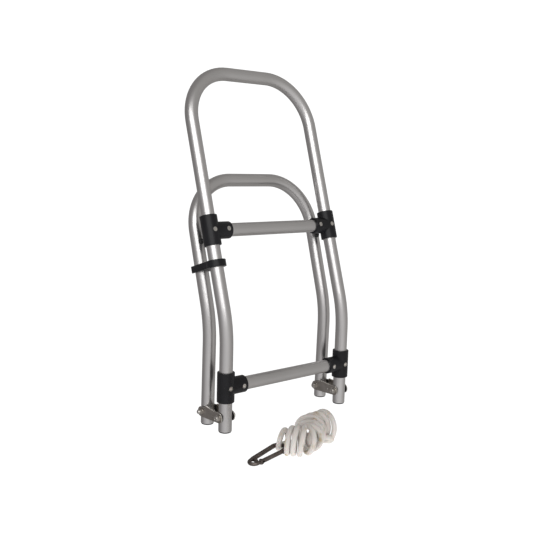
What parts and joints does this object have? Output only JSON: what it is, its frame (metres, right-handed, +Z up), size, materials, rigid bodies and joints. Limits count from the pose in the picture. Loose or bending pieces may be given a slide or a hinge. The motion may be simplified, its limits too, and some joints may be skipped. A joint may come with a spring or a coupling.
{
  "type": "boat boarding ladder",
  "caption": "Folding boarding ladder of bent aluminium tube, with black tee joints, link hinges, a stow clip, and a hank of rope on a snap hook; shown folded and standing.",
  "frame": {"origin": "on the floor, midway between the legs' planes and at the middle of the folded ladder's depth", "axes": "X along the rungs, +Y from the front frame to the rear frame behind it, +Z up"},
  "size_m": [0.3728, 0.3393, 0.6653],
  "materials": {
    "anodised_tube": "satin anodised",
    "black_nylon": "satin moulded",
    "black_rubber": "matt",
    "stainless": "plain",
    "link_steel": "brushed",
    "hook_steel": "dark, dull",
    "white_rope": "braided polyester"
  },
  "bodies": {
    "front_frame": {"front_frame_tube": "anodised_tube", "lower_rung": "anodised_tube", "upper_rung": "anodised_tube", "tee_lower_left": "black_nylon", "tee_lower_right": "black_nylon", "tee_upper_left": "black_nylon", "tee_upper_right": "black_nylon", "tee_leg_screws": "stainless", "tee_rung_screws": "stainless", "front_plug_left": "black_nylon", "front_plug_right": "black_nylon", "front_sleeve_left": "stainless", "front_sleeve_right": "stainless", "stow_clip": "black_nylon", "clip_screw": "stainless", "rope_hank": "white_rope", "snap_hook_body": "hook_steel", "hook_gate_pin": "hook_steel"},
    "hinge_links": {"hinge_plate_outer_left": "link_steel", "hinge_plate_inner_left": "link_steel", "hinge_plate_inner_right": "link_steel", "hinge_plate_outer_right": "link_steel", "front_bolt_left": "stainless", "front_bolt_right": "stainless", "rear_bolt_left": "stainless", "rear_bolt_right": "stainless", "hinge_washers": "stainless", "hinge_lock_nuts": "stainless", "hinge_spacers": "black_nylon", "dome_nut_left": "stainless"},
    "rear_frame": {"rear_frame_tube": "anodised_tube", "rear_plug_left": "black_nylon", "rear_plug_right": "black_nylon", "rear_sleeve_left": "stainless", "rear_sleeve_right": "stainless", "bumper_left": "black_rubber", "bumper_right": "black_rubber"},
    "hook_gate": {"snap_hook_gate": "hook_steel", "gate_plunger": "hook_steel", "gate_spring": "hook_steel"}
  },
  "joints": [
    {"name": "link_fold", "type": "hinge", "parent": "front_frame", "child": "hinge_links", "pos_m": [0, -0.0714, 0.0287], "axis": [-1, 0, 0], "range_deg": [0, 87.5]},
    {"name": "rear_frame_fold", "type": "hinge", "parent": "hinge_links", "child": "rear_frame", "pos_m": [0, -0.0159, 0.0263], "axis": [-1, 0, 0], "range_deg": [0, 93.6]},
    {"name": "hook_gate_swing", "type": "hinge", "parent": "front_frame", "child": "hook_gate", "pos_m": [-0.18792, -0.2282, 0.00519], "axis": [-0.1297, -0.0148, 0.9914], "range_deg": [0, 14], "stiffness_Nm_per_rad": 1, "springref_deg": -17.19}
  ]
}
